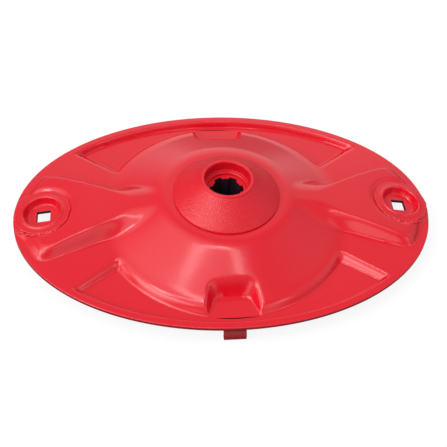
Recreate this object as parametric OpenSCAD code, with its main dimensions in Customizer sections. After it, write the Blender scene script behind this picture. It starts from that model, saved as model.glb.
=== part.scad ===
// Oval cutting disc of a disc mower, with its cone, splined hub, knife cups and ejector lugs.
// +Z is up along the spindle, +X points to a knife end, and the hub's lower face lies at Z = 0.

/* [Disc] */
// Length of the disc over its two knife ends
disc_l = 440; // [360:5:540]
// Width of the disc across its two recessed sides
disc_w = 300; // [240:5:360]
// Thickness of the pressed sheet
sheet_t = 4; // [3:0.5:5]
// Height of the rim's upper face above the hub's lower face
rim_h = 22; // [18:1:28]
// Height of the disc's flat centre above the rim
centre_rise = 26.7; // [24:0.1:34]

/* [Dome, brim and arms] */
// Width of the flat ledge round the cone, before the sheet turns down into the dome
ledge_w = 12; // [8:0.5:18]
// Slope of the dome, in degrees
dome_slope = 24; // [20:1:27]
// Height of the nearly flat brim's cone, taken at the disc's axis
brim_rise = 5; // [2:0.5:12]
// Height of the two raised arms above the rim
arm_rise = 16.8; // [14:0.1:19]
// Width of an arm at its neck
neck_w = 30; // [24:1:40]
// Width of an arm where it passes the knife bolt
fan_w = 111; // [90:1:120]
// Slope of an arm's side walls at its fanned-out end, in degrees
arm_wall = 62; // [50:1:66]

/* [Side recesses] */
// Depth of the two side recesses below the rim
recess_d = 6.2; // [4:0.1:8]
// Width of the rim left outside a recess
rim_w = 8.6; // [6:0.1:12]
// Distance from the disc's long edge to the foot of the dome
recess_inset = 17; // [15:0.5:22]
// Angle of a recess's two ends from the long axis, in degrees
recess_end = 31.3; // [28:0.1:36]
// Width of the bay that reaches from a recess into the dome
bay_w = 34; // [24:1:44]
// Length of that bay, measured in from the foot of the dome
bay_l = 26; // [18:1:32]
// How far a bay and its ejector lug lie to one side of the short axis
bay_shift = 3; // [0:0.5:6]

/* [Knife cups] */
// Distance from a cup's flange to the disc's end
cup_end_gap = 1; // [0.5:0.5:6]
// Tilt of a knife's seat down towards the disc's end, in degrees
knife_tilt = 9; // [6:1:13]
// Height of the cup's seat above the rim at the knife bolt
seat_rise = 6.7; // [5:0.1:9]
// Side of the square hole that holds the knife bolt's neck
bolt_square = 14; // [12:0.5:16]
// Radius of a cup's mouth
cup_mouth_r = 19.3; // [18:0.1:21]
// Depth of a cup below its flange
cup_depth = 5.3; // [4:0.1:7]
// Wall and floor of a cup
cup_wall = 4; // [3:0.5:5]
// Radius of a cup's flange
cup_flange_r = 29; // [27:0.5:30]

/* [Cone and hub] */
// Diameter of the cone where it stands on the disc
cone_d = 111; // [104:1:120]
// Height of the cone above the disc
cone_h = 23.9; // [22:0.1:30]
// Diameter of the cone's upper bore, which clears the spindle nut's socket
bore_d = 47; // [40:0.5:50]
// Depth of that bore
bore_l = 12; // [9:0.5:13]
// Major diameter of the six-spline bore
spline_d = 34.9; // [30:0.1:36]
// Minor diameter of the six-spline bore
spline_root_d = 29.7; // [25:0.1:31]
// Width of one spline
spline_w = 8.7; // [7:0.1:9.5]
// Diameter of the hub's lower boss
boss_d = 56; // [50:1:60]
// Thickness of the hub's flange
flange_t = 8; // [6:0.5:10]

/* [Fasteners] */
// Thread diameter of the six hub screws
screw_d = 8; // [6:1:8]
// Width across the flats of a screw's head
screw_af = 13; // [10:1:14]
// Distance from the hub flange's edge to the circle of screws and dowels
screw_margin = 12.5; // [11:0.5:14]
// Diameter of the two drive dowels
dowel_d = 10; // [8:1:10]

/* [Ejector lugs] */
// Width of a lug
lug_w = 22; // [16:1:28]
// Thickness of a lug's plate
lug_t = 5; // [4:0.5:6]
// Height of a lug's toe above the hub's lower face
lug_toe_h = 2; // [1:0.5:5]

/* [Hidden] */
$fn = 96;
paint = "#d8232f";
zinc = "#b9bcc0";
cut = 1;             // how far a cutting body runs past the face it opens
fit_gap = 0.05;      // running gap between pieces that are bolted or welded together

half_l = disc_l / 2;
half_w = disc_w / 2;
centre_z = rim_h + centre_rise;         // upper face of the disc's flat centre
cone_r = cone_d / 2;
dome_r = cone_r + ledge_w;              // where the flat centre turns down into the dome
bore_r = bore_d / 2;
spigot_r = bore_r + 2.5;                // the hub's spigot, which centres the disc and the cone
hub_flange_r = cone_r - 4;
screw_circle_r = hub_flange_r - screw_margin;
recess_r = half_w - recess_inset;       // foot of the dome in a recess
bay_y = recess_r - bay_l;               // foot of the bay's end wall
knife_x = half_l - cup_end_gap - cup_flange_r;
neck_x = cone_r + 46.5;                 // where an arm starts to fan out
arm_step = 2.7;                         // drop from an arm's top to the cup's seat
fillet = 3;                             // usual width over which two pressed faces blend

// Slopes of pressed faces, in degrees
arm_ramp = 8.7;                         // an arm's top as it leaves the centre
neck_wall = 31;                         // an arm's side walls at its neck
arm_end_wall = 52;                      // an arm's end
recess_wall = 53;                       // a recess's wall against the dome
recess_end_wall = 50;                   // a recess's two end walls
recess_end_turn = 35.5;                 // the way an end wall runs, from the long axis
rim_wall = 68;                          // the wall between a recess and the rim
bay_end_wall = 68;                      // a bay's end wall
bay_side_wall = 60;                     // a bay's side walls
bay_flare = 0.37;                       // what a bay widens by on each side per unit of its length
seat_wall = 40;                         // the step round a cup's seat

// ---- Shape of the pressed sheet ------------------------------------------------------------

function blend_max(a, b, k) = let (h = max(k - abs(a - b), 0) / k) max(a, b) + h * h * k / 4;
function blend_min(a, b, k) = -blend_max(-a, -b, k);
function ease(t) = let (u = min(max(t, 0), 1)) u * u * (3 - 2 * u);

// Share of the way from the axis to the oval outline, 1 on the outline itself
function outline_share(x, y) = norm([x / half_l, y / half_w]);
// Distance inwards from the outline
function edge_distance(x, y) =
    let (s = outline_share(x, y)) (1 - s) * s / max(norm([x / half_l ^ 2, y / half_w ^ 2]), 1e-9);

function dome_and_brim(x, y) =
    let (cone = centre_rise - tan(dome_slope) * (norm([x, y]) - dome_r),
        dome = blend_min(centre_rise, cone, fillet))
    blend_max(dome, brim_rise * (1 - outline_share(x, y)), 4);

// The plane that a cup's flange rests on
function seat(x) = seat_rise - tan(knife_tilt) * (x - knife_x);

function arm_top(x) =
    let (ramp = centre_rise - tan(arm_ramp) * (x - cone_r))
    min(centre_rise - fillet, blend_min(blend_max(arm_rise, ramp, 2), seat(x) + arm_step, 4));
function arm_half_width(x) =
    let (flare = (fan_w - neck_w) / 2 / (knife_x - neck_x))
    neck_w / 2 + blend_max(0, flare * (x - neck_x), 4);
// An arm's side walls steepen from the neck, 8 before the fan starts, to well out along the fan
function arm_side_slope(x) =
    let (start = neck_x - 8, end = knife_x - 50)
    tan(neck_wall) + (tan(arm_wall) - tan(neck_wall)) * ease((x - start) / (end - start));
function arm(x, y) =
    let (side = arm_top(x) + arm_side_slope(x) * (arm_half_width(x) - y),
        end = tan(arm_end_wall) * (edge_distance(x, y) - rim_w))
    blend_min(arm_top(x), blend_min(side, end, 16), 6);

// The walls round a recess and its bay; bay_x is the distance from the bay's centre line
function recess(x, y, bay_x) =
    let (outer = tan(rim_wall) * (rim_w - edge_distance(x, y)),
        inner = tan(recess_wall) * (recess_r - norm([x, y])) - recess_d,
        along = sin(recess_end_turn) * (x - recess_r * cos(recess_end)),
        across = cos(recess_end_turn) * (y - recess_r * sin(recess_end)),
        end = tan(recess_end_wall) * (along - across) - recess_d,
        wall_rise = max(inner + recess_d, end + recess_d, 0),
        bay_side = tan(bay_side_wall) * (bay_x - bay_w / 2 - bay_flare * (y - bay_y)),
        bay = blend_max(bay_side, tan(bay_end_wall) * (bay_y - y), 20) - recess_d,
        sides = blend_max(inner, end, 1.5 + 1.3 * wall_rise))
    blend_max(-recess_d, blend_max(outer, blend_min(sides, bay, fillet), 7), 1.2);

seat_r = cup_flange_r + 0.5;            // radius of the flat seat round a cup
function cup_distance(x, y) = norm([x - knife_x, y]);
function with_seat(z, x, y) =
    let (wall = tan(seat_wall) * max(cup_distance(x, y) - seat_r, 0),
        raised = cup_distance(x, y) < seat_r ? max(z, seat(x)) : blend_max(z, seat(x) - wall, 2))
    cup_distance(x, y) < seat_r ? min(raised, seat(x)) : blend_min(raised, seat(x) + wall, 2);

// Height of the sheet's upper face over the rim, the same in all four quarters but for the bays' shift
function top_height(px, py) =
    let (x = abs(px), y = abs(py), bay_x = abs(px - bay_shift * sign(py)),
        pressed = blend_max(dome_and_brim(x, y), arm(x, y), 2))
    with_seat(blend_min(pressed, recess(x, y, bay_x), 4), x, y);
// Points on a ball of the sheet's thickness; rolled under the upper face, it gives the lower face
ball = [[0, 0, sheet_t], for (share = [0.55, 0.9]) for (a = [0:30:330])
    sheet_t * [share * cos(a), share * sin(a), sqrt(1 - share ^ 2)]];
function low_height(x, y) = min([for (p = ball) top_height(x + p.x, y + p.y) - p.z]);

// Directions of the mesh's spokes in one quarter: close together over the arms, walls and bays
quarter = [for (a = [0:2:34]) a, for (a = [38:7:73]) a, for (a = [77:2:87]) a];
spokes = [for (a = quarter) a, for (i = [len(quarter) - 1:-1:1]) 180 - quarter[i],
    for (a = quarter) 180 + a, for (i = [len(quarter) - 1:-1:1]) 360 - quarter[i]];
function outline_r(a) = 1 / norm([cos(a) / half_l, sin(a) / half_w]);
hole_ring = spigot_r - 6;               // innermost ring, inside the hub's hole
// Radii of the mesh's rings along one spoke: on the dome, across the recess or arm, and on the rim
function ring_radii(a) =
    let (dome_end = recess_r, rim = outline_r(a), foot = rim - rim_w - 6)
    [hole_ring, cone_r + 3, dome_r - 3, dome_r + 3,
        for (share = [0.35, 0.55, 0.65, 0.75, 0.85, 0.95]) dome_r + 3 + (dome_end - dome_r - 10) * share,
        dome_end - 6, dome_end - 2,
        for (i = [0:6]) dome_end + 1 + (foot - dome_end - 1) * i / 6,
        rim - rim_w - 2.6, rim - rim_w, rim - rim_w + 2, rim];

module sheet() {
    grid = [for (a = spokes) [for (r = ring_radii(a)) [r * cos(a), r * sin(a)]]];
    m = len(spokes);
    n = len(grid[0]);
    upper = [for (spoke = grid) for (p = spoke) [p.x, p.y, rim_h + top_height(p.x, p.y)]];
    lower = [for (spoke = grid) for (p = spoke) [p.x, p.y, rim_h + low_height(p.x, p.y)]];
    function at(j, i) = (j % m) * n + i;
    low = m * n;
    faces = [for (j = [0:m - 1]) each [
        for (i = [0:n - 2]) each [
            [at(j, i), at(j + 1, i), at(j + 1, i + 1)],
            [at(j, i), at(j + 1, i + 1), at(j, i + 1)],
            [low + at(j, i), low + at(j + 1, i + 1), low + at(j + 1, i)],
            [low + at(j, i), low + at(j, i + 1), low + at(j + 1, i + 1)]],
        [at(j, 0), low + at(j, 0), low + at(j + 1, 0)],
        [at(j, 0), low + at(j + 1, 0), at(j + 1, 0)],
        [at(j, n - 1), at(j + 1, n - 1), low + at(j + 1, n - 1)],
        [at(j, n - 1), low + at(j + 1, n - 1), low + at(j, n - 1)]]];
    polyhedron(concat(upper, lower), faces, convexity = 8);
}

// ---- Places that several pieces share ------------------------------------------------------

module at_knife(side)
    translate([side * knife_x, 0, rim_h + seat_rise]) rotate([0, side * knife_tilt, 0]) children();
function screw_angle(i) = 60 * i - 30;
module at_screw(i) rotate([0, 0, screw_angle(i)]) translate([screw_circle_r, 0, 0]) children();
module at_dowel(i) rotate([0, 0, 180 * (i - 1)]) translate([screw_circle_r, 0, 0]) children();
module round_bar(r, low_z, high_z) translate([0, 0, low_z]) cylinder(r = r, h = high_z - low_z);

under_disc = centre_z - sheet_t;        // lower face of the disc's flat centre
flange_z = under_disc - flange_t;       // lower face of the hub's flange
washer_t = 2;
screw_clear_r = screw_d / 2 + 0.5;      // clearance hole for a screw
screw_in_cone = 9;                      // length of thread in the cone
dowel_in_cone = 7;
spigot_z = centre_z + cone_h - bore_l - 4;
cup_body_r = cup_mouth_r + 2.2;

// ---- Sub-parts -----------------------------------------------------------------------------

module disc_pressing() color(paint) difference() {
    sheet();
    round_bar(spigot_r + 2 * fit_gap, under_disc - cut, centre_z + cut);
    for (i = [1:6]) at_screw(i) round_bar(screw_clear_r, under_disc - cut, centre_z + cut);
    for (i = [1:2]) at_dowel(i) round_bar(dowel_d / 2 + fit_gap, under_disc - cut, centre_z + cut);
    for (side = [-1, 1]) at_knife(side) {
        round_bar(cup_body_r + 4 * fit_gap, -4 * sheet_t, 2 * sheet_t);
        round_bar(cup_flange_r + 4 * fit_gap, fit_gap / 2, 3 * sheet_t);
    }
}

// A pressed cup, welded into the disc, which shrouds the knife bolt's nut
module knife_cup(side) color(paint) at_knife(side) difference() {
    floor_r = cup_mouth_r - 2.3;
    brim_t = 1.5;                       // thickness of the cup's flange
    lip = 1.9;                          // radius of the rolled lip
    lip_z = 0.8;
    rotate_extrude() difference() {
        union() {
            translate([0, -cup_depth - cup_wall]) square([cup_body_r, cup_depth + cup_wall]);
            translate([0, fit_gap]) square([cup_flange_r, brim_t]);
            translate([0, fit_gap]) square([cup_mouth_r + lip, lip_z]);
            intersection() {
                translate([cup_mouth_r + lip, lip_z]) circle(r = lip);
                translate([0, fit_gap]) square([cup_flange_r, lip_z + lip]);
            }
            square([cup_body_r, fit_gap]);
        }
        polygon([[-cut, -cup_depth], [floor_r, -cup_depth], [cup_mouth_r, lip_z],
            [cup_mouth_r, lip_z + lip + cut], [-cut, lip_z + lip + cut]]);
    }
    translate([0, 0, -cup_depth - cup_wall / 2])
        cube([bolt_square, bolt_square, cup_wall + 2 * cut], center = true);
}

// The cast cone on top of the disc, with a stepped bore for the spindle nut
module hub_cone() color(paint) translate([0, 0, centre_z + fit_gap]) difference() {
    foot_h = 2.4;                       // upright edge round the foot
    lip_w = 4.2;                        // width of the lip round the bore
    lip_h = 1.8;
    step_r = bore_r - 3.5;
    ledge_z = cone_h - bore_l;
    rotate_extrude() polygon([
        [spigot_r + fit_gap, 0], [cone_r - 0.8, 0], [cone_r, 0.8],
        [cone_r, foot_h - 0.8], [cone_r - 1, foot_h],
        [bore_r + lip_w + 1.6, cone_h - lip_h - 0.6], [bore_r + lip_w, cone_h - lip_h + 0.6],
        [bore_r + lip_w, cone_h - 0.8], [bore_r + lip_w - 0.8, cone_h], [bore_r + 1, cone_h],
        [bore_r, cone_h - 1], [bore_r, ledge_z], [step_r + 0.8, ledge_z], [step_r, ledge_z - 0.8],
        [step_r, ledge_z - 4], [spigot_r + fit_gap, ledge_z - 4]]);
    for (i = [1:6]) at_screw(i) round_bar(screw_d / 2 + fit_gap, -cut, screw_in_cone + 1);
    for (i = [1:2]) at_dowel(i) round_bar(dowel_d / 2 + fit_gap, -cut, dowel_in_cone + 0.5);
}

module spline_bore() {
    lead_in = 1.5;
    lead_r = spline_d / 2 + lead_in;
    round_bar(spline_root_d / 2, -cut, spigot_z + cut);
    for (a = [0:60:120]) rotate([0, 0, a]) intersection() {
        translate([-spline_d, -spline_w / 2, -cut]) cube([2 * spline_d, spline_w, spigot_z + 2 * cut]);
        round_bar(spline_d / 2, -cut, spigot_z + cut);
    }
    translate([0, 0, -fit_gap]) cylinder(r1 = lead_r, r2 = spline_root_d / 2, h = lead_r - spline_root_d / 2);
}

// The machined hub under the disc, which the spindle drives through six splines
module spline_hub() color(paint) difference() {
    rotate_extrude() polygon([
        [0, 0], [boss_d / 2 - 1.5, 0], [boss_d / 2, 1.5],
        [boss_d / 2, flange_z - 2], [boss_d / 2 + 2, flange_z],
        [hub_flange_r - 1, flange_z], [hub_flange_r, flange_z + 1], [hub_flange_r, under_disc - fit_gap],
        [spigot_r, under_disc - fit_gap], [spigot_r, spigot_z - 1], [spigot_r - 1, spigot_z], [0, spigot_z]]);
    spline_bore();
    for (i = [1:6]) at_screw(i) round_bar(screw_clear_r, flange_z - cut, under_disc + cut);
    for (i = [1:2]) at_dowel(i) round_bar(dowel_d / 2 + fit_gap, flange_z - cut, under_disc + cut);
}

module hub_screw(i) {
    head_h = 0.66 * screw_d;
    head_z = flange_z - washer_t - 2 * fit_gap;
    color(zinc) at_screw(i) {
        translate([0, 0, head_z - head_h]) intersection() {
            cylinder(d = screw_af / cos(30), h = head_h, $fn = 6);
            cylinder(r1 = screw_af / 2 - 0.2, r2 = screw_af / 2 + head_h * 1.6, h = head_h);
        }
        round_bar(screw_d / 2, head_z - 0.5, centre_z + screw_in_cone);
    }
}

// A split spring washer under a screw's head
module lock_washer(i) {
    low_z = flange_z - washer_t - fit_gap;
    color(zinc) at_screw(i) difference() {
        round_bar(screw_d / 2 + 3.2, low_z, low_z + washer_t);
        round_bar(screw_d / 2 + 0.2, low_z - cut, low_z + washer_t + cut);
        translate([0, -0.6, low_z - cut]) cube([screw_d, 1.2, washer_t + 2 * cut]);
    }
}

module drive_dowel(i) color(zinc) at_dowel(i) {
    low_z = flange_z + 0.5;
    high_z = centre_z + dowel_in_cone;
    round_bar(dowel_d / 2, low_z + 1, high_z - 1);
    translate([0, 0, low_z]) cylinder(r1 = dowel_d / 2 - 0.8, r2 = dowel_d / 2, h = 1);
    translate([0, 0, high_z - 1]) cylinder(r1 = dowel_d / 2, r2 = dowel_d / 2 - 0.8, h = 1);
}

// A plate welded under a recess's floor, whose toe clears cut crop from under the disc
module ejector_lug(side) {
    weld_z = rim_h - recess_d - sheet_t - fit_gap;     // lower face of the recess's floor
    toe_y = half_w - 1;                                // outer face of the toe
    foot_l = 34;
    bend = 1.5 * lug_t;
    color(paint) rotate([0, 0, side > 0 ? 180 : 0])
        translate([-bay_shift - lug_w / 2, 0, 0]) rotate([90, 0, 90]) linear_extrude(lug_w) {
            translate([-toe_y + bend, weld_z - lug_t]) square([foot_l - bend, lug_t]);
            translate([-toe_y, lug_toe_h]) square([lug_t, weld_z - bend - lug_toe_h]);
            intersection() {
                translate([-toe_y + bend, weld_z - bend]) difference() {
                    circle(r = bend);
                    circle(r = bend - lug_t);
                }
                translate([-toe_y, weld_z - bend]) square([bend, bend]);
            }
        }
}

disc_pressing();
knife_cup(-1);  // knife_cup_left
knife_cup(1);  // knife_cup_right
hub_cone();
spline_hub();
for (i = [1:6]) hub_screw(i);
for (i = [1:6]) lock_washer(i);
for (i = [1:2]) drive_dowel(i);
ejector_lug(-1);  // ejector_lug_front
ejector_lug(1);  // ejector_lug_rear
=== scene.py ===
"""Oval cutting disc of a disc mower: pressed disc, cast cone, splined hub, knife cups and ejector lugs."""

import math

import bmesh
import bpy
import numpy as np
from mathutils import Matrix, Vector

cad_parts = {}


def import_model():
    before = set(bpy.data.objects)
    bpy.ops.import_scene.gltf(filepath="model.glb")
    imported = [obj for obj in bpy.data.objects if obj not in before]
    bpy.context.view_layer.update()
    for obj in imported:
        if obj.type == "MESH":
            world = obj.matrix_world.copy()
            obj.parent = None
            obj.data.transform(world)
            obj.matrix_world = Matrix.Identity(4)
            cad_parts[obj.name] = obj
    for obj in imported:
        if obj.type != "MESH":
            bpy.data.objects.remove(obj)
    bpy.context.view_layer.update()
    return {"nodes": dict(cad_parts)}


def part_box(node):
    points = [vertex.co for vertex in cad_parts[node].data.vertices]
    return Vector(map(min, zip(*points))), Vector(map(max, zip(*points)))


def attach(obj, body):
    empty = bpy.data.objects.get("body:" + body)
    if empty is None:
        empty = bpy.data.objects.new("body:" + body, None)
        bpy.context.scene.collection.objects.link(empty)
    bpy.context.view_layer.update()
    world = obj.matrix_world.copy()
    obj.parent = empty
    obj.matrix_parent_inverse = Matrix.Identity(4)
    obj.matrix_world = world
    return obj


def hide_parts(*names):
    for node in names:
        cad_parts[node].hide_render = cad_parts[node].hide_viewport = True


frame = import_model()
MM = 0.001
BODY = "root"


def box_mm(node):
    """A CAD node's lowest and highest corners, in millimetres."""
    low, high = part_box(node)
    return np.array(low) / MM, np.array(high) / MM


# ---- Sizes, in millimetres ------------------------------------------------------------------

HALF_L, HALF_W = box_mm("disc_pressing")[1][:2]
cone_low, cone_high = box_mm("hub_cone")
CONE_FOOT_Z, CONE_TOP_Z = cone_low[2], cone_high[2]
CONE_R = cone_high[0]
HUB_TOP_Z = box_mm("spline_hub")[1][2]

RIM_H = 22.0            # upper face of the rim over the hub's lower face
SHEET_T = 4.0
CENTRE_RISE = 26.7
DOME_R = 67.5
DOME_SLOPE = math.radians(24)
BRIM_RISE = 5.0
ARM_RISE = 16.8
ARM_STEP = 2.7          # drop from an arm's top to the cup's seat
ARM_RAMP = math.radians(8.7)
NECK_W = 30.0
NECK_X = 102.0          # where an arm starts to fan out
FAN_FLARE = 0.46        # how much an arm widens on each side per unit of its length
NECK_WALL = math.radians(31)
FAN_WALL = math.radians(62)
WALL_CHANGE = (94.0, 140.0)     # the stretch over which an arm's walls steepen
ARM_END_WALL = math.radians(52)
RECESS_D = 6.2
RIM_W = 8.6
RECESS_R = 150.0 - 17.0
RECESS_END = math.radians(31.3)          # where a recess's end wall meets the dome's foot
RECESS_END_TURN = math.radians(35.5)     # the way that end wall runs
RECESS_WALL = math.radians(53)
RECESS_END_WALL = math.radians(50)
RIM_WALL = math.radians(68)
BAY_END_WALL = math.radians(68)
BAY_SIDE_WALL = math.radians(60)
BAY_FLARE = 0.37       # how much a bay widens on each side per unit of its length
BAY_W = 34.0
BAY_SHIFT = 3.0
BAY_Y = RECESS_R - 26.0
FILLET = 3.0
KNIFE_X = 190.0
KNIFE_TILT = math.radians(9)
SEAT_RISE = 6.7
SEAT_R = 29.5
SEAT_WALL = math.radians(40)
CUP_BODY_R = 21.5
SPIGOT_R = 26.0
SPLINE_REACH = 17.6     # just past the bottom of the splines' grooves
# Below this depth the splined bore is painted near-black: painted shade of the deep bore.
BORE_SHADE_DEPTH = 0.6  # how far the paint runs down into the splined bore


# ---- The pressed sheet's height -------------------------------------------------------------

def blend_max(a, b, width):
    """The higher of two heights, with a fillet of that width where they meet."""
    near = np.maximum(width - np.abs(a - b), 0) / width
    return np.maximum(a, b) + near * near * width / 4


def blend_min(a, b, width):
    return -blend_max(-a, -b, width)


def ease(t):
    u = np.clip(t, 0, 1)
    return u * u * (3 - 2 * u)


def outline_share(x, y):
    return np.hypot(x / HALF_L, y / HALF_W)


def edge_distance(x, y):
    """Distance inwards from the oval outline."""
    share = outline_share(x, y)
    return (1 - share) * share / np.maximum(np.hypot(x / HALF_L ** 2, y / HALF_W ** 2), 1e-9)


def seat(x):
    """The plane that a cup's flange rests on."""
    return SEAT_RISE - math.tan(KNIFE_TILT) * (x - KNIFE_X)


def arm_top(x):
    ramp = CENTRE_RISE - math.tan(ARM_RAMP) * (x - CONE_R)
    lowered = blend_min(blend_max(ARM_RISE, ramp, 2), seat(x) + ARM_STEP, 4)
    return np.minimum(CENTRE_RISE - FILLET, lowered)


def arm(x, y):
    half_width = NECK_W / 2 + blend_max(0, FAN_FLARE * (x - NECK_X), 4)
    steeper = ease((x - WALL_CHANGE[0]) / (WALL_CHANGE[1] - WALL_CHANGE[0]))
    wall = math.tan(NECK_WALL) + (math.tan(FAN_WALL) - math.tan(NECK_WALL)) * steeper
    side = arm_top(x) + wall * (half_width - y)
    end = math.tan(ARM_END_WALL) * (edge_distance(x, y) - RIM_W)
    return blend_min(arm_top(x), blend_min(side, end, 16), 6)


def recess(x, y, bay_x):
    """Height of the walls round a side recess and its bay, down to the recess's floor."""
    outer = math.tan(RIM_WALL) * (RIM_W - edge_distance(x, y))
    inner = math.tan(RECESS_WALL) * (RECESS_R - np.hypot(x, y)) - RECESS_D
    along = math.sin(RECESS_END_TURN) * (x - RECESS_R * math.cos(RECESS_END))
    across = math.cos(RECESS_END_TURN) * (y - RECESS_R * math.sin(RECESS_END))
    end = math.tan(RECESS_END_WALL) * (along - across) - RECESS_D
    wall_rise = np.maximum(np.maximum(inner, end) + RECESS_D, 0)
    bay_side = math.tan(BAY_SIDE_WALL) * (bay_x - BAY_W / 2 - BAY_FLARE * (y - BAY_Y))
    bay = blend_max(bay_side, math.tan(BAY_END_WALL) * (BAY_Y - y), 20) - RECESS_D
    sides = blend_max(inner, end, 1.5 + 1.3 * wall_rise)
    walls = blend_max(outer, blend_min(sides, bay, FILLET), 7)
    return blend_max(-RECESS_D, walls, 1.2)


def top_height(px, py):
    """Height of the sheet's upper face over the rim."""
    x, y = np.abs(px), np.abs(py)
    bay_x = np.abs(px - BAY_SHIFT * np.sign(py))
    cone = CENTRE_RISE - math.tan(DOME_SLOPE) * (np.hypot(x, y) - DOME_R)
    dome = blend_min(CENTRE_RISE, cone, FILLET)
    brim = BRIM_RISE * (1 - outline_share(x, y))
    pressed = blend_max(blend_max(dome, brim, 4), arm(x, y), 2)
    z = blend_min(pressed, recess(x, y, bay_x), 4)
    away = np.hypot(x - KNIFE_X, y)
    wall = math.tan(SEAT_WALL) * np.maximum(away - SEAT_R, 0)
    around = blend_min(blend_max(z, seat(x) - wall, 2), seat(x) + wall, 2)
    return np.where(away < SEAT_R, seat(x), around)


def low_height(x, y):
    """Height of the lower face, which a ball of the sheet's thickness would trace under the upper one."""
    lowest = top_height(x, y) - SHEET_T
    for share in (0.55, 0.9):
        for turn in np.radians(np.arange(0, 360, 30)):
            across = SHEET_T * share
            drop = SHEET_T * math.sqrt(1 - share ** 2)
            lowest = np.minimum(lowest, top_height(x + across * np.cos(turn), y + across * np.sin(turn)) - drop)
    return lowest


# ---- Mesh tools -----------------------------------------------------------------------------

def new_piece(name, verts, faces, material, sharp=math.radians(40)):
    mesh = bpy.data.meshes.new(name)
    mesh.from_pydata([tuple(v) for v in verts], [], [tuple(f) for f in faces])
    mesh.validate()
    mesh.shade_smooth()
    mesh.set_sharp_from_angle(angle=sharp)
    piece = bpy.data.objects.new(name, mesh)
    bpy.context.scene.collection.objects.link(piece)
    mesh.materials.append(material)
    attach(piece, BODY)
    return piece


def ring_faces(rings, count, closed):
    """Quads between neighbouring rings of count points each; closed joins the last ring to the first."""
    j = np.arange(count)
    after = (j + 1) % count
    faces = []
    for i in range(rings if closed else rings - 1):
        a, b = i * count, ((i + 1) % rings) * count
        faces.append(np.stack([a + j, a + after, b + after, b + j], 1))
    return np.concatenate(faces)


def arc(cx, cz, radius, start, end, steps):
    """Points (r, z) on an arc, with its angles in degrees."""
    turns = [math.radians(start + (end - start) * i / steps) for i in range(steps + 1)]
    return [(cx + radius * math.cos(t), cz + radius * math.sin(t)) for t in turns]


def lathe(sections, angles):
    """Rings about Z from (r, z) pairs, where r may be a function of the angle."""
    verts = []
    for r, z in sections:
        radii = r(angles) if callable(r) else np.full(len(angles), float(r))
        verts.append(np.stack([radii * np.cos(angles), radii * np.sin(angles), np.full(len(angles), z)], 1))
    return np.concatenate(verts)


# ---- Materials ------------------------------------------------------------------------------

def group(name, inputs, outputs):
    tree = bpy.data.node_groups.new(name, "ShaderNodeTree")
    for label, kind, value in inputs:
        socket = tree.interface.new_socket(label, in_out="INPUT", socket_type=kind)
        if value is not None:
            socket.default_value = value
    for label, kind in outputs:
        tree.interface.new_socket(label, in_out="OUTPUT", socket_type=kind)
    return tree, tree.nodes.new("NodeGroupInput"), tree.nodes.new("NodeGroupOutput")


def node(tree, kind, **settings):
    made = tree.nodes.new(kind)
    for key, value in settings.items():
        if key in made.inputs:
            made.inputs[key].default_value = value
        else:
            setattr(made, key, value)
    return made


def math_node(tree, operation, first, second):
    made = tree.nodes.new("ShaderNodeMath")
    made.operation = operation
    for socket, value in zip(made.inputs, (first, second)):
        if isinstance(value, (int, float)):
            socket.default_value = value
        else:
            tree.links.new(value, socket)
    return made.outputs[0]


def colour_mix(tree, share, first, second):
    made = tree.nodes.new("ShaderNodeMix")
    made.data_type = "RGBA"
    for socket, value in ((made.inputs[0], share), (made.inputs[6], first), (made.inputs[7], second)):
        if isinstance(value, (int, float, tuple)):
            socket.default_value = value
        else:
            tree.links.new(value, socket)
    return made.outputs[2]


def paint_film_group():
    """Sprayed paint: slow colour drift, paler film on raised edges, and the fine waves of orange peel."""
    tree, given, result = group(
        "paint_film",
        [("Colour", "NodeSocketColor", (0.7, 0.01, 0.02, 1)), ("Thin Colour", "NodeSocketColor", (0.8, 0.1, 0.1, 1)),
         ("Drift", "NodeSocketFloat", 0.3), ("Peel Size", "NodeSocketFloat", 0.003),
         ("Peel Depth", "NodeSocketFloat", 0.1), ("Roughness", "NodeSocketFloat", 0.2)],
        [("Colour", "NodeSocketColor"), ("Roughness", "NodeSocketFloat"), ("Normal", "NodeSocketVector")])
    place = node(tree, "ShaderNodeTexCoord").outputs["Object"]
    drift = node(tree, "ShaderNodeTexNoise", Scale=18.0, Detail=3.0, Roughness=0.5)
    tree.links.new(place, drift.inputs["Vector"])
    darker = node(tree, "ShaderNodeHueSaturation", Value=0.9)
    tree.links.new(given.outputs["Colour"], darker.inputs["Color"])
    amount = math_node(tree, "MULTIPLY", drift.outputs["Fac"], given.outputs["Drift"])
    toned = colour_mix(tree, amount, given.outputs["Colour"], darker.outputs["Color"])
    edge = node(tree, "ShaderNodeNewGeometry").outputs["Pointiness"]
    raised = node(tree, "ShaderNodeMapRange")
    raised.inputs["From Min"].default_value = 0.52
    raised.inputs["From Max"].default_value = 0.62
    raised.inputs["To Max"].default_value = 0.35
    tree.links.new(edge, raised.inputs["Value"])
    tree.links.new(colour_mix(tree, raised.outputs[0], toned, given.outputs["Thin Colour"]), result.inputs["Colour"])
    peel = node(tree, "ShaderNodeTexNoise", Detail=2.0, Roughness=0.5)
    tree.links.new(place, peel.inputs["Vector"])
    tree.links.new(math_node(tree, "DIVIDE", 1.0, given.outputs["Peel Size"]), peel.inputs["Scale"])
    bump = node(tree, "ShaderNodeBump", Distance=0.001)
    tree.links.new(given.outputs["Peel Depth"], bump.inputs["Strength"])
    tree.links.new(peel.outputs["Fac"], bump.inputs["Height"])
    tree.links.new(bump.outputs["Normal"], result.inputs["Normal"])
    spread = math_node(tree, "MULTIPLY", math_node(tree, "SUBTRACT", drift.outputs["Fac"], 0.5), 0.12)
    tree.links.new(math_node(tree, "ADD", given.outputs["Roughness"], spread), result.inputs["Roughness"])
    return tree


PAINT_FILM = paint_film_group()


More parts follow.
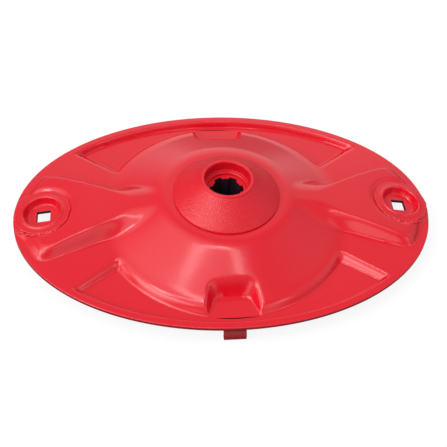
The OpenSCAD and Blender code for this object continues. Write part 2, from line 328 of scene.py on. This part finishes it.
def material(name):
    made = bpy.data.materials.new(name)
    made.use_nodes = True
    made.node_tree.nodes.clear()
    shader = made.node_tree.nodes.new("ShaderNodeBsdfPrincipled")
    out = made.node_tree.nodes.new("ShaderNodeOutputMaterial")
    made.node_tree.links.new(shader.outputs[0], out.inputs[0])
    return made, made.node_tree, shader


def painted(name, colour, thin, peel_size, peel_depth, roughness, ior):
    """A sprayed paint: its colour and that of its thin edges, its orange peel, its roughness and its gloss."""
    made, tree, shader = material(name)
    film = node(tree, "ShaderNodeGroup", node_tree=PAINT_FILM)
    film.inputs["Colour"].default_value = colour
    film.inputs["Thin Colour"].default_value = thin
    film.inputs["Peel Size"].default_value = peel_size
    film.inputs["Peel Depth"].default_value = peel_depth
    film.inputs["Roughness"].default_value = roughness
    tree.links.new(film.outputs["Colour"], shader.inputs["Base Color"])
    tree.links.new(film.outputs["Roughness"], shader.inputs["Roughness"])
    tree.links.new(film.outputs["Normal"], shader.inputs["Normal"])
    shader.inputs["IOR"].default_value = ior
    return made


gloss_paint = painted("gloss_red_paint", (0.73, 0.004, 0.018, 1), (0.8, 0.05, 0.06, 1), 0.006, 0.06, 0.17, 1.6)
cast_paint = painted("cast_red_paint", (0.73, 0.004, 0.018, 1), (0.78, 0.03, 0.04, 1), 0.0015, 0.7, 0.18, 1.5)
# A darker copy of the red paint: painted shade for the ejector lugs, which sit in shade under the rim, and for the
# sheet's outer edge.
painted_shade_red = painted("painted_shade_red_paint", (0.36, 0.006, 0.011, 1), (0.4, 0.03, 0.03, 1), 0.003, 0.2, 0.3, 1.6)


def hub_paint():
    """Red paint outside; the splined bore, where the splines are oiled unpainted steel, is painted near-black as
    painted shade of the deep bore.
    """
    made = cast_paint.copy()
    made.name = "hub_red_paint"
    tree = made.node_tree
    shader = next(n for n in tree.nodes if n.type == "BSDF_PRINCIPLED")
    place = node(tree, "ShaderNodeTexCoord").outputs["Object"]
    split = node(tree, "ShaderNodeSeparateXYZ")
    tree.links.new(place, split.inputs[0])
    flat = node(tree, "ShaderNodeCombineXYZ")
    tree.links.new(split.outputs["X"], flat.inputs["X"])
    tree.links.new(split.outputs["Y"], flat.inputs["Y"])
    reach = node(tree, "ShaderNodeVectorMath", operation="LENGTH")
    tree.links.new(flat.outputs[0], reach.inputs[0])
    inside = math_node(tree, "LESS_THAN", reach.outputs["Value"], SPLINE_REACH * MM)
    below = math_node(tree, "LESS_THAN", split.outputs["Z"], (HUB_TOP_Z - BORE_SHADE_DEPTH) * MM)
    # Inside the splines and below the hub's top the colour turns near-black: painted shade of the deep bore.
    bore_shade = math_node(tree, "MULTIPLY", inside, below)
    painted_colour = shader.inputs["Base Color"].links[0].from_socket
    tree.links.new(colour_mix(tree, bore_shade, painted_colour, (0.035, 0.018, 0.03, 1)), shader.inputs["Base Color"])
    return made


hub_finish = hub_paint()


def zinc_plate():
    made, tree, shader = material("zinc_plate")
    place = node(tree, "ShaderNodeTexCoord").outputs["Object"]
    spangle = node(tree, "ShaderNodeTexVoronoi", Scale=900.0)
    tree.links.new(place, spangle.inputs["Vector"])
    tint = colour_mix(tree, spangle.outputs["Distance"], (0.62, 0.63, 0.65, 1), (0.5, 0.52, 0.55, 1))
    tree.links.new(tint, shader.inputs["Base Color"])
    brushed = node(tree, "ShaderNodeTexNoise", Scale=1400.0, Detail=2.0)
    tree.links.new(place, brushed.inputs["Vector"])
    tree.links.new(math_node(tree, "ADD", math_node(tree, "MULTIPLY", brushed.outputs["Fac"], 0.2), 0.25),
                   shader.inputs["Roughness"])
    shader.inputs["Metallic"].default_value = 1.0
    return made


zinc = zinc_plate()


def painted_hole_shade():
    """Near-black red, mottled, painted on the walls of the square hole for the knife bolt: painted shade inside the
    hole.
    """
    made, tree, shader = material("painted_hole_shade")
    place = node(tree, "ShaderNodeTexCoord").outputs["Object"]
    shade_mottle = node(tree, "ShaderNodeTexNoise", Scale=260.0, Detail=3.0)
    tree.links.new(place, shade_mottle.inputs["Vector"])
    tint = colour_mix(tree, shade_mottle.outputs["Fac"], (0.05, 0.02, 0.03, 1), (0.16, 0.02, 0.03, 1))
    tree.links.new(tint, shader.inputs["Base Color"])
    shader.inputs["Roughness"].default_value = 0.45
    return made


hole_shade_paint = painted_hole_shade()


# ---- Pressed disc ---------------------------------------------------------------------------

def spoke_angles():
    """Angles of the sheet's spokes, closest together over the arms and the bays."""
    quarter = np.radians(np.concatenate([np.arange(0, 38, 0.4), np.arange(38, 76, 0.8), np.arange(76, 90, 0.5)]))
    quarter = np.append(quarter, math.pi / 2)
    half = np.concatenate([quarter, (math.pi - quarter)[::-1][1:]])
    return np.concatenate([half, (half + math.pi)[1:-1]])


def ring_radii(angles):
    """Radii of the sheet's rings on each spoke: circles out to the dome's foot, ovals at the rim."""
    rim = 1 / np.hypot(np.cos(angles) / HALF_L, np.sin(angles) / HALF_W)
    foot = rim - RIM_W - 8
    hole = SPIGOT_R + 0.1
    stops = [(hole, 1), (CONE_R - 3, 3), (DOME_R - 4, 8), (DOME_R + 4, 26), (RECESS_R - 12, 26)]
    rings = []
    start = np.full(len(angles), hole)
    for radius, steps in stops[1:]:
        rings += [start + (radius - start) * i / steps for i in range(steps)]
        start = np.full(len(angles), radius)
    rings += [start + (RECESS_R + 1.5 - start) * i / 17 for i in range(17)]
    start = start * 0 + RECESS_R + 1.5
    rings += [start + (foot - start) * i / 32 for i in range(32)]
    rings += [foot + (rim - 0.8 - foot) * i / 20 for i in range(21)]
    return rings, rim


def pressed_disc():
    angles = spoke_angles()
    rings, rim = ring_radii(angles)
    count = len(angles)
    edge_r = 0.8

    def place(radius, height):
        x, y = radius * np.cos(angles), radius * np.sin(angles)
        return np.stack([x, y, RIM_H + height(x, y)], 1)

    upper = [place(r, top_height) for r in rings]
    lower = [place(r, low_height) for r in rings[::-1]]
    edge = []
    for turn in np.radians([30, 60, 90]):
        point = place(rim - edge_r + edge_r * math.sin(turn), top_height)
        point[:, 2] += edge_r * (math.cos(turn) - 1)
        edge.append(point)
    for turn in np.radians([90, 120, 150]):
        point = place(rim - edge_r + edge_r * math.sin(turn), top_height)
        point[:, 2] += edge_r * (math.cos(turn) + 1) - SHEET_T
        edge.append(point)
    verts = np.concatenate(upper + edge + lower)
    faces = ring_faces(len(verts) // count, count, True)
    piece = new_piece("disc_sheet", verts * MM, faces, gloss_paint)
    # The sheet's outer edge faces get the dark red painted shade.
    piece.data.materials.append(painted_shade_red)
    first_edge_face = (len(upper) + 1) * count
    for i in range(first_edge_face, first_edge_face + 3 * count):
        piece.data.polygons[i].material_index = 1
    cut_holes(piece)
    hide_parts("disc_pressing")
    return piece


def knife_place(side):
    """Where a cup stands: its own axis is Z, tilted down towards the disc's end."""
    spot = Vector((side * KNIFE_X, 0, RIM_H + SEAT_RISE)) * MM
    return Matrix.Translation(spot) @ Matrix.Rotation(side * KNIFE_TILT, 4, "Y")


def cut_holes(piece):
    """Cuts the openings for the two cups out of the sheet."""
    cutter_mesh = bpy.data.meshes.new("hole_cutter")
    work = bmesh.new()
    for side in (-1, 1):
        bmesh.ops.create_cone(work, cap_ends=True, segments=96, radius1=(CUP_BODY_R + 0.2) * MM,
                              radius2=(CUP_BODY_R + 0.2) * MM, depth=40 * MM, matrix=knife_place(side))
    work.to_mesh(cutter_mesh)
    work.free()
    cutter = bpy.data.objects.new("hole_cutter", cutter_mesh)
    bpy.context.scene.collection.objects.link(cutter)
    holes = piece.modifiers.new("holes", "BOOLEAN")
    holes.object = cutter
    holes.operation = "DIFFERENCE"
    holes.solver = "EXACT"
    apply_modifiers(piece)
    bpy.data.objects.remove(cutter)
    bpy.data.meshes.remove(cutter_mesh)


def apply_modifiers(piece):
    ready = piece.evaluated_get(bpy.context.evaluated_depsgraph_get())
    made = bpy.data.meshes.new_from_object(ready)
    old = piece.data
    piece.modifiers.clear()
    piece.data = made
    bpy.data.meshes.remove(old)


# ---- Cups -----------------------------------------------------------------------------------

CUP_DEPTH = 5.3
CUP_WALL = 4.0
CUP_MOUTH_R = 19.3
CUP_FLANGE_R = 29.0
CUP_FLOOR_R = 17.0
CUP_BRIM_T = 1.5
BOLT_SQUARE = 14.0


def square_radius(half, corner):
    """Radius of a square with rounded corners, as a function of the angle."""
    def radius(angles):
        c, s = np.abs(np.cos(angles)), np.abs(np.sin(angles))
        flat = half / np.maximum(c, s)
        reach = half - corner
        along = reach * (c + s)
        bend = along + np.sqrt(np.maximum(along ** 2 - 2 * reach ** 2 + corner ** 2, 0))
        in_corner = np.minimum(c, s) * flat > reach
        return np.where(in_corner, bend, flat)
    return radius


def knife_cup(side, name):
    floor = -CUP_DEPTH
    under = floor - CUP_WALL
    half = BOLT_SQUARE / 2
    lip = 1.9
    profile = [(square_radius(half + 0.4, 0.9), under), (square_radius(half, 0.5), under + 0.4),
               (square_radius(half, 0.5), floor - 0.4), (square_radius(half + 0.4, 0.9), floor),
               (12.0, floor), (CUP_FLOOR_R - 1.6, floor)]
    profile += arc(CUP_FLOOR_R - 1.6, floor + 1.6, 1.6, -70, -23, 4)
    profile += arc(CUP_MOUTH_R + lip, 0.8, lip, 180, 28, 9)
    profile += [(CUP_MOUTH_R + 2 * lip + 0.3, CUP_BRIM_T + 0.06), (CUP_FLANGE_R - 1.2, CUP_BRIM_T + 0.05)]
    profile += arc(CUP_FLANGE_R - 0.8, CUP_BRIM_T - 0.75, 0.8, 90, 0, 4)
    profile += [(CUP_FLANGE_R, 0.05), (CUP_BODY_R, 0.05), (CUP_BODY_R, under + 0.8), (CUP_BODY_R - 0.8, under)]
    angles = np.radians(np.arange(0, 360, 2.5))
    verts = lathe(profile, angles)
    faces = ring_faces(len(profile), len(angles), True)[:, ::-1]
    piece = new_piece(name, verts * MM, faces, gloss_paint)
    # The walls of the bolt's square hole are painted near-black red as painted shade.
    piece.data.materials.append(hole_shade_paint)
    hole_walls = 3 * len(angles)
    for face in list(piece.data.polygons)[:hole_walls]:
        face.material_index = 1
    piece.data.transform(knife_place(side))
    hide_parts("knife_cup_left" if side < 0 else "knife_cup_right")
    return piece


def weld_bead(name, path, bead_r, closed, place):
    """A rippled bead along a path of (x, y, z) points; an open one tapers to its ends."""
    count = len(path)
    along = np.roll(path, -1, 0) - np.roll(path, 1, 0)
    if not closed:
        along[0], along[-1] = path[1] - path[0], path[-1] - path[-2]
    along /= np.linalg.norm(along, axis=1, keepdims=True)
    side = np.cross(along, (0, 0, 1))
    side /= np.linalg.norm(side, axis=1, keepdims=True)
    up = np.cross(side, along)
    step = np.arange(count)
    size = bead_r * (1 + 0.2 * np.sin(step * 1.26) + 0.16 * np.sin(step * 0.53 + 1) + 0.12 * np.sin(step * 0.17 + 2))
    if not closed:
        size *= np.clip(np.sin(math.pi * step / (count - 1)) * 6, 0.1, 1)
    turns = np.radians(np.arange(0, 360, 45))
    rings = [path[i] + size[i] * (np.outer(np.cos(turns), side[i]) + np.outer(np.sin(turns), up[i]))
             for i in range(count)]
    faces = [tuple(face) for face in ring_faces(count, len(turns), closed)]
    if not closed:
        last = (count - 1) * len(turns)
        faces += [tuple(range(len(turns)))[::-1], tuple(range(last, last + len(turns)))]
    piece = new_piece(name, np.concatenate(rings) * MM, faces, gloss_paint, sharp=math.radians(80))
    piece.data.transform(place)
    return piece


def cup_welds(side, name):
    """One bead all round the flange, and a second, wandering pass on the sheet in front of it."""
    turns = np.radians(np.arange(0, 360, 1.0))
    wander = CUP_FLANGE_R - 0.35 + 0.25 * np.sin(turns * 7) + 0.2 * np.sin(turns * 11 + 2)
    path = np.stack([wander * np.cos(turns), wander * np.sin(turns), np.full(len(turns), 0.55)], 1)
    weld_bead(f"{name}_weld", path, 1.0, True, knife_place(side))
    turns = np.radians(np.arange(-142, -48, 1.0))
    away = SEAT_R + 1.6 + 0.6 * np.sin(turns * 9 + side) + 0.4 * np.sin(turns * 23)
    x, y = side * KNIFE_X + away * np.cos(turns), away * np.sin(turns)
    path = np.stack([x, y, RIM_H + top_height(x, y) + 0.2], 1)
    weld_bead(f"{name}_second_weld", path, 1.5, False, Matrix.Identity(4))


# ---- Cone -----------------------------------------------------------------------------------

def cast_cone():
    bore_r = 23.5
    lip_w = 4.2
    step_r = 20.0
    ledge_z = CONE_TOP_Z - 12.0
    foot_top = CONE_FOOT_Z + 2.4
    neck_r, neck_z = bore_r + lip_w + 0.4, CONE_TOP_Z - 2.2
    profile = [(SPIGOT_R + 0.05, ledge_z - 4), (SPIGOT_R + 0.05, CONE_FOOT_Z), (CONE_R - 0.8, CONE_FOOT_Z)]
    profile += arc(CONE_R - 0.8, CONE_FOOT_Z + 0.8, 0.8, -70, 0, 3)
    profile += arc(CONE_R - 1.0, foot_top - 1.0, 1.0, 0, 55, 4)
    profile += [(neck_r + (CONE_R - neck_r) * t, neck_z + (foot_top - neck_z) * t) for t in (0.9, 0.6, 0.3, 0.08)]
    profile += [(neck_r, neck_z + 0.5)]
    profile += arc(bore_r + lip_w - 1.6, CONE_TOP_Z - 1.6, 1.6, 5, 90, 6)
    profile += arc(bore_r + 1.4, CONE_TOP_Z - 1.4, 1.4, 90, 180, 6)
    profile += [(bore_r, ledge_z + 0.4), (bore_r - 0.4, ledge_z), (step_r + 0.8, ledge_z), (step_r, ledge_z - 0.8),
                (step_r, ledge_z - 4)]
    angles = np.radians(np.arange(0, 360, 1.5))
    verts = lathe(profile, angles)
    faces = ring_faces(len(profile), len(angles), True)
    piece = new_piece("cast_cone", verts * MM, faces, cast_paint)
    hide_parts("hub_cone")
    return piece


# ---- CAD nodes that keep their shape --------------------------------------------------------

def dress(node_name, finish, bevel):
    """Gives a CAD node its finish and takes its sharp edges off."""
    piece = frame["nodes"][node_name]
    piece.data.materials.clear()
    piece.data.materials.append(finish)
    if bevel:
        rounding = piece.modifiers.new("rounding", "BEVEL")
        rounding.width = bevel * MM
        rounding.segments = 2
        rounding.limit_method = "ANGLE"
        rounding.angle_limit = math.radians(35)


pressed_disc()
knife_cup(-1, "left_cup")
knife_cup(1, "right_cup")
cup_welds(-1, "left_cup")
cup_welds(1, "right_cup")
cast_cone()
dress("spline_hub", hub_finish, 0)
# The ejector lugs get the dark red painted shade of their place under the rim.
for side in ("front", "rear"):
    dress(f"ejector_lug_{side}", painted_shade_red, 0.5)
for i in range(1, 7):
    dress(f"hub_screw_{i}", zinc, 0)
    dress(f"lock_washer_{i}", zinc, 0)
for i in (1, 2):
    dress(f"drive_dowel_{i}", zinc, 0)


# ---- Studio ---------------------------------------------------------------------------------

def studio_floor():
    """A pale floor, far wider than the disc, that shows white and takes a faint shadow."""
    mesh = bpy.data.meshes.new("floor")
    reach = 40.0
    mesh.from_pydata([(-reach, -reach, 0), (reach, -reach, 0), (reach, reach, 0), (-reach, reach, 0)], [],
                     [(0, 1, 2, 3)])
    floor = bpy.data.objects.new("floor", mesh)
    bpy.context.scene.collection.objects.link(floor)
    finish, tree, shader = material("pale_floor")
    shader.inputs["Base Color"].default_value = (0.13, 0.13, 0.13, 1)
    shader.inputs["Roughness"].default_value = 0.9
    shader.inputs["Emission Color"].default_value = (1, 1, 1, 1)
    seen = node(tree, "ShaderNodeLightPath").outputs["Is Camera Ray"]
    tree.links.new(math_node(tree, "MULTIPLY", seen, 0.87), shader.inputs["Emission Strength"])
    mesh.materials.append(finish)
    floor.location.z = -0.0002


def camera():
    """The camera looks down at the rim's centre from the front, turned a little to the left."""
    elevation, turn, roll = math.radians(47.45), math.radians(9.13), math.radians(4.93)
    distance = 0.9397
    back = Vector((-math.cos(elevation) * math.sin(turn), -math.cos(elevation) * math.cos(turn), math.sin(elevation)))
    right = Vector((math.cos(turn), -math.sin(turn), 0))
    up = back.cross(right)
    axes = Matrix((right, up, back)).transposed()
    data = bpy.data.cameras.new("camera")
    data.lens, data.sensor_width = 71.33, 36.0
    data.shift_x, data.shift_y = -0.0028, -0.0269
    cam = bpy.data.objects.new("camera", data)
    cam.matrix_world = (Matrix.Translation(Vector((0, 0, RIM_H * MM)) + back * distance)
                        @ (axes @ Matrix.Rotation(roll, 3, "Z")).to_4x4())
    bpy.context.scene.collection.objects.link(cam)
    bpy.context.scene.camera = cam


# Soft lights painted on the room, flattened about the zenith: (0, 0) is straight up, a distance of 1 is the
# horizon, X is to the right and Y is behind the disc. Each has its place, the distances at which it starts to
# fade and ends, and its strength.
GLOWS = {
    "wall_behind": (0.12, 0.76, 0.18, 0.52, 0.75),
    "ceiling_panel": (-0.28, -0.08, 0.18, 0.48, 1.05),
    "left_window": (-0.52, -0.26, 0.06, 0.30, 3.4),
    "far_left_window": (-0.82, 0.04, 0.05, 0.20, 2.2),
    "front_right_panel": (0.30, -0.48, 0.05, 0.25, 0.7),
    "low_front_left": (-0.38, -0.80, 0.10, 0.30, 1.2),
    "low_front_right": (0.50, -0.78, 0.10, 0.28, 0.6),
    "right_wall": (0.62, 0.00, 0.10, 0.50, 0.35),
}
ROOM_STRENGTH = 0.36


def world():
    """A dim room with the glows painted on it; seen directly, it is plain white like the floor."""
    sky = bpy.data.worlds.new("studio")
    sky.use_nodes = True
    tree = sky.node_tree
    split = node(tree, "ShaderNodeSeparateXYZ")
    tree.links.new(node(tree, "ShaderNodeTexCoord").outputs["Generated"], split.inputs[0])
    above = math_node(tree, "MAXIMUM", math_node(tree, "ADD", split.outputs["Z"], 1.0), 0.05)
    flat = node(tree, "ShaderNodeCombineXYZ")
    tree.links.new(math_node(tree, "DIVIDE", split.outputs["X"], above), flat.inputs["X"])
    tree.links.new(math_node(tree, "DIVIDE", split.outputs["Y"], above), flat.inputs["Y"])

    def glow(x, y, core, reach, strength):
        away = node(tree, "ShaderNodeVectorMath", operation="DISTANCE")
        tree.links.new(flat.outputs[0], away.inputs[0])
        away.inputs[1].default_value = (x, y, 0)
        ramp = node(tree, "ShaderNodeMapRange", interpolation_type="SMOOTHSTEP")
        for label, value in (("From Min", core), ("From Max", reach), ("To Min", strength), ("To Max", 0.0)):
            ramp.inputs[label].default_value = value
        tree.links.new(away.outputs["Value"], ramp.inputs["Value"])
        return ramp.outputs[0]

    total = ROOM_STRENGTH
    for light in GLOWS.values():
        total = math_node(tree, "ADD", glow(*light), total)
    seen = node(tree, "ShaderNodeLightPath").outputs["Is Camera Ray"]
    total = math_node(tree, "MAXIMUM", total, seen)
    tree.links.new(total, tree.nodes["Background"].inputs["Strength"])
    tree.nodes["Background"].inputs["Color"].default_value = (1, 1, 1, 1)
    bpy.context.scene.world = sky


def lamp_from(name, direction, distance, width, depth, radiance):
    """A soft box in that direction from the disc, whose face has the given radiance."""
    light = bpy.data.lights.new(name, "AREA")
    light.shape = "RECTANGLE"
    light.size, light.size_y = width, depth
    light.energy = radiance * math.pi * width * depth
    lamp = bpy.data.objects.new(name, light)
    aim = Vector((0, 0, RIM_H * MM))
    lamp.location = aim + Vector(direction).normalized() * distance
    lamp.rotation_euler = (aim - lamp.location).to_track_quat("-Z", "Y").to_euler()
    bpy.context.scene.collection.objects.link(lamp)


studio_floor()
camera()
world()
lamp_from("front_left", (-0.48, -0.60, 0.65), 1.8, 0.5, 0.35, 2.0)
lamp_from("cone_left", (-0.52, -0.22, 0.82), 1.8, 0.34, 0.38, 7.0)
lamp_from("front_right", (0.60, -0.58, 0.56), 1.8, 0.3, 0.3, 2.0)
lamp_from("overhead_edge", (-0.145, -0.04, 0.98), 2.0, 0.22, 0.9, 3.6)
lamp_from("strip", (0.08, -0.10, 0.99), 2.0, 0.13, 0.9, 4.5)
bpy.context.scene.view_settings.view_transform = "Standard"
